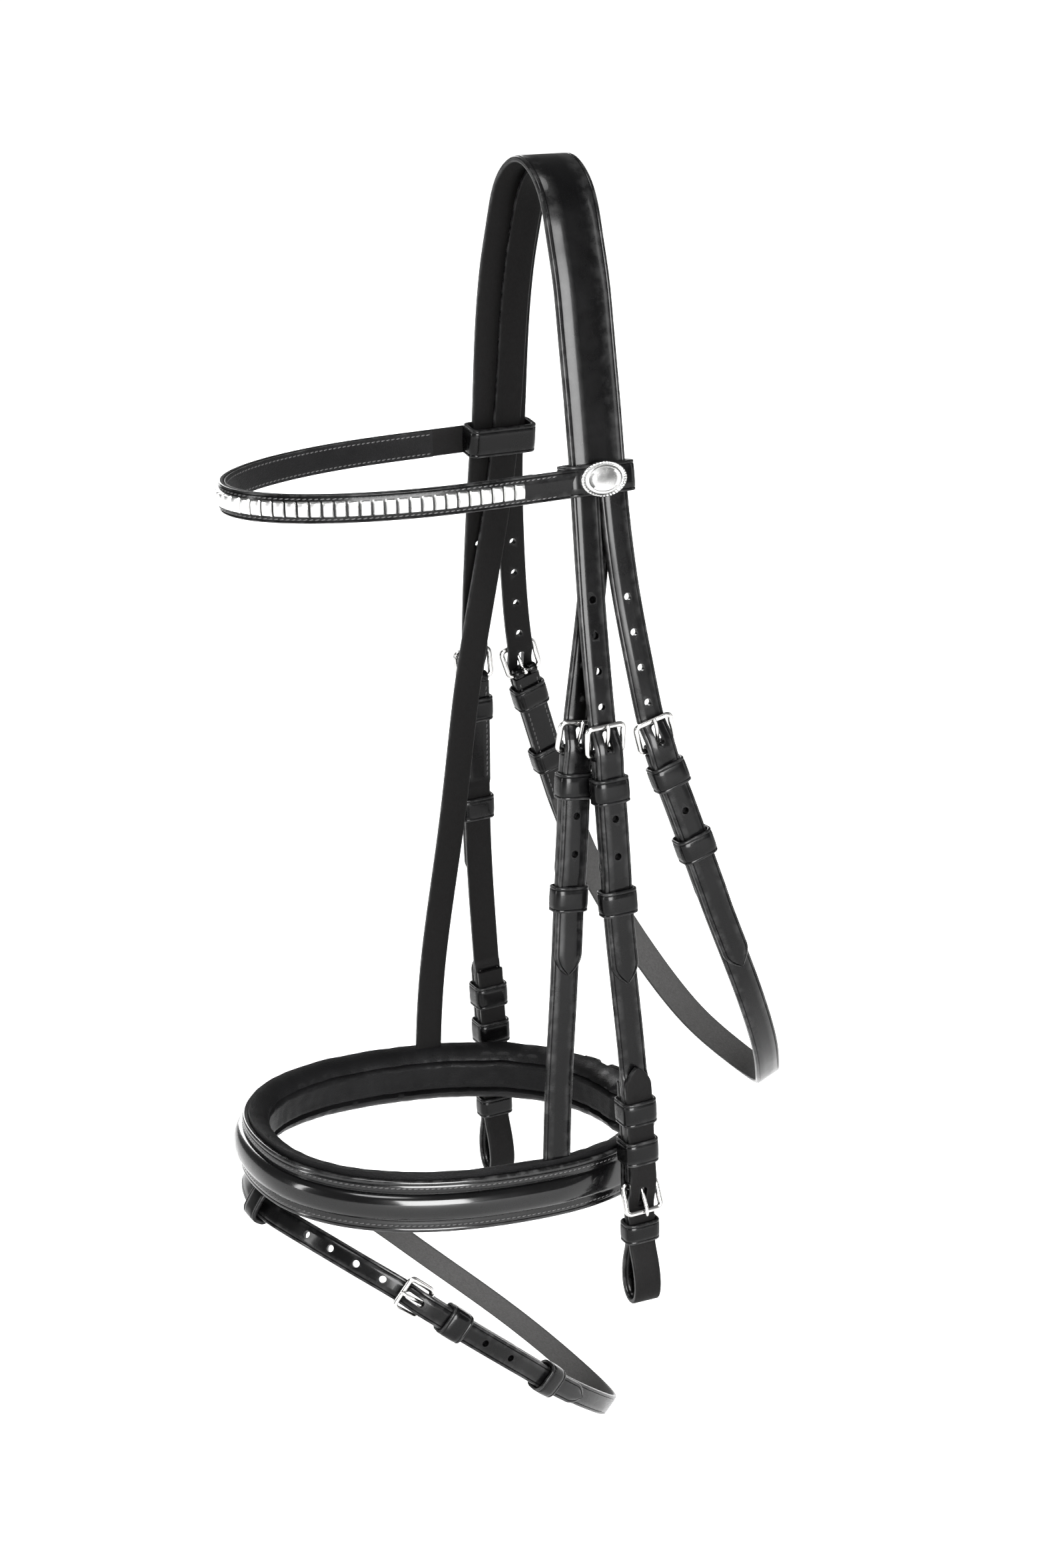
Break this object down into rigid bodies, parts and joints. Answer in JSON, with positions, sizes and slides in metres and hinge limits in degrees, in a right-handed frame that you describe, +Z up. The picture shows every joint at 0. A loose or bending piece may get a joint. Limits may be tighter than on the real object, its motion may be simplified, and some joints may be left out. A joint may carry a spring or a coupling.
{
  "type": "snaffle bridle",
  "caption": "Headstall of buckled flat straps over the poll, with a metal-fronted browband, throatlash, cheekpieces ending in bit loops and a padded noseband with a flash strap.",
  "frame": {"origin": "underside of the sliphead at the middle of the crown, where the bridle rests on the horse's poll or on its hook", "axes": "+Z up; the horse faces -Y; +X is the horse's near (left) side"},
  "size_m": [0.2012, 0.3246, 0.7161],
  "materials": {
    "leather": "waxed black bridle leather, soft sheen",
    "padding": "soft matt black lining leather",
    "steel": "polished stainless steel, lightly worn",
    "bright_metal": "bright polished metal"
  },
  "bodies": {
    "headpiece": {"headpiece": "leather", "sliphead": "leather"},
    "browband": {"browband": "leather", "browband_lining": "padding", "browband_clinchers": "bright_metal", "browband_plate": "steel"},
    "near_cheekpiece": {"near_cheek_billet": "leather", "near_cheek_strap": "leather", "near_cheek_buckle": "steel", "near_cheek_keeper": "leather", "near_bit_billet": "leather", "near_bit_buckle": "steel", "near_bit_keepers": "leather"},
    "off_cheekpiece": {"off_cheek_billet": "leather", "off_cheek_strap": "leather", "off_cheek_buckle": "steel", "off_cheek_keeper": "leather", "off_bit_billet": "leather", "off_bit_buckle": "steel", "off_bit_keepers": "leather"},
    "throatlash": {"throatlash": "leather", "near_throat_billet": "leather", "near_throat_buckle": "steel", "near_throat_keeper": "leather", "off_throat_billet": "leather", "off_throat_buckle": "steel", "off_throat_keeper": "leather"},
    "noseband": {"noseband": "leather", "noseband_padding": "padding", "near_hanger": "leather", "off_hanger": "leather", "near_slip_billet": "leather", "hanger_buckle": "steel", "hanger_keepers": "leather", "jaw_strap": "leather", "jaw_chape": "leather", "jaw_buckle": "steel", "jaw_keepers": "leather", "flash_loop": "leather"},
    "flash": {"flash_strap": "leather", "flash_buckle": "steel", "flash_keeper": "leather"},
    "near_cheek_tongue": {"near_cheek_tongue": "steel"},
    "near_bit_tongue": {"near_bit_tongue": "steel"},
    "near_throat_tongue": {"near_throat_tongue": "steel"},
    "near_cheek_runner": {"near_cheek_runner": "leather"},
    "near_bit_runner": {"near_bit_runner": "leather"},
    "near_throat_runner": {"near_throat_runner": "leather"},
    "off_cheek_tongue": {"off_cheek_tongue": "steel"},
    "off_bit_tongue": {"off_bit_tongue": "steel"},
    "off_throat_tongue": {"off_throat_tongue": "steel"},
    "off_cheek_runner": {"off_cheek_runner": "leather"},
    "off_bit_runner": {"off_bit_runner": "leather"},
    "off_throat_runner": {"off_throat_runner": "leather"},
    "hanger_tongue": {"hanger_tongue": "steel"},
    "jaw_tongue": {"jaw_tongue": "steel"},
    "flash_tongue": {"flash_tongue": "steel"},
    "flash_runner": {"flash_runner": "leather"}
  },
  "joints": [
    {"name": "browband_tilt", "type": "hinge", "parent": "headpiece", "child": "browband", "pos_m": [0, 0.0017, -0.1485], "axis": [1, 0, 0], "range_deg": [-4, 0]},
    {"name": "near_cheekpiece_swing", "type": "hinge", "parent": "headpiece", "child": "near_cheekpiece", "pos_m": [0.0652, -0.00643, -0.192], "axis": [0, -1, 0], "range_deg": [0, 25]},
    {"name": "off_cheekpiece_swing", "type": "hinge", "parent": "headpiece", "child": "off_cheekpiece", "pos_m": [-0.0652, -0.00643, -0.192], "axis": [0, 1, 0], "range_deg": [0, 25]},
    {"name": "throatlash_swing", "type": "hinge", "parent": "headpiece", "child": "throatlash", "pos_m": [0, 0.01222, -0.192], "axis": [1, 0, 0], "range_deg": [0, 6]},
    {"name": "noseband_swing", "type": "hinge", "parent": "headpiece", "child": "noseband", "pos_m": [0, 0.00014, -0.192], "axis": [1, 0, 0], "range_deg": [-4, 0]},
    {"name": "flash_swing", "type": "hinge", "parent": "noseband", "child": "flash", "pos_m": [0, -0.1685, -0.541], "axis": [1, 0, 0], "range_deg": [0, 15]},
    {"name": "near_cheek_tongue_hinge", "type": "hinge", "parent": "near_cheekpiece", "child": "near_cheek_tongue", "pos_m": [0.078, -0.0032, -0.288], "axis": [-0.0061, 0.9981, 0.0606], "range_deg": [0, 10]},
    {"name": "near_bit_tongue_hinge", "type": "hinge", "parent": "near_cheekpiece", "child": "near_bit_tongue", "pos_m": [0.09096, 0.0128, -0.527], "axis": [-0.0001, -0.999, -0.0437], "range_deg": [0, 10]},
    {"name": "near_throat_tongue_hinge", "type": "hinge", "parent": "throatlash", "child": "near_throat_tongue", "pos_m": [0.078, 0.0275, -0.288], "axis": [0.0168, 0.9615, 0.2744], "range_deg": [0, 10]},
    {"name": "near_cheek_runner_slide", "type": "slide", "parent": "near_cheekpiece", "child": "near_cheek_runner", "axis": [0.0786, 0.0541, -0.9954], "range_m": [-0.005, 0.005]},
    {"name": "near_bit_runner_slide", "type": "slide", "parent": "near_cheekpiece", "child": "near_bit_runner", "axis": [-0.0063, 0.0429, -0.9991], "range_m": [-0.003, 0.001]},
    {"name": "near_throat_runner_slide", "type": "slide", "parent": "throatlash", "child": "near_throat_runner", "axis": [0.0719, 0.33, -0.9412], "range_m": [-0.004, 0.004]},
    {"name": "off_cheek_tongue_hinge", "type": "hinge", "parent": "off_cheekpiece", "child": "off_cheek_tongue", "pos_m": [-0.078, -0.0032, -0.288], "axis": [-0.0061, -0.9981, -0.0606], "range_deg": [0, 10]},
    {"name": "off_bit_tongue_hinge", "type": "hinge", "parent": "off_cheekpiece", "child": "off_bit_tongue", "pos_m": [-0.09096, 0.0128, -0.527], "axis": [-0.0001, 0.999, 0.0437], "range_deg": [0, 10]},
    {"name": "off_throat_tongue_hinge", "type": "hinge", "parent": "throatlash", "child": "off_throat_tongue", "pos_m": [-0.078, 0.0275, -0.288], "axis": [0.0168, -0.9615, -0.2744], "range_deg": [0, 10]},
    {"name": "off_cheek_runner_slide", "type": "slide", "parent": "off_cheekpiece", "child": "off_cheek_runner", "axis": [-0.0786, 0.0541, -0.9954], "range_m": [-0.005, 0.005]},
    {"name": "off_bit_runner_slide", "type": "slide", "parent": "off_cheekpiece", "child": "off_bit_runner", "axis": [0.0063, 0.0429, -0.9991], "range_m": [-0.003, 0.001]},
    {"name": "off_throat_runner_slide", "type": "slide", "parent": "throatlash", "child": "off_throat_runner", "axis": [-0.0719, 0.33, -0.9412], "range_m": [-0.004, 0.004]},
    {"name": "hanger_tongue_hinge", "type": "hinge", "parent": "noseband", "child": "hanger_tongue", "pos_m": [0.065, -0.014, -0.288], "axis": [0.009, 0.9937, -0.1118], "range_deg": [0, 10]},
    {"name": "jaw_tongue_hinge", "type": "hinge", "parent": "noseband", "child": "jaw_tongue", "pos_m": [-0.01411, 0.0616, -0.52914], "axis": [0, 0.0559, 0.9984], "range_deg": [0, 10]},
    {"name": "flash_tongue_hinge", "type": "hinge", "parent": "flash", "child": "flash_tongue", "pos_m": [0.08778, -0.11219, -0.57257], "axis": [-0.0036, 0.6251, 0.7806], "range_deg": [0, 10]},
    {"name": "flash_runner_slide", "type": "slide", "parent": "flash", "child": "flash_runner", "axis": [-0.2701, 0.7153, -0.6445], "range_m": [-0.004, 0.004]}
  ]
}
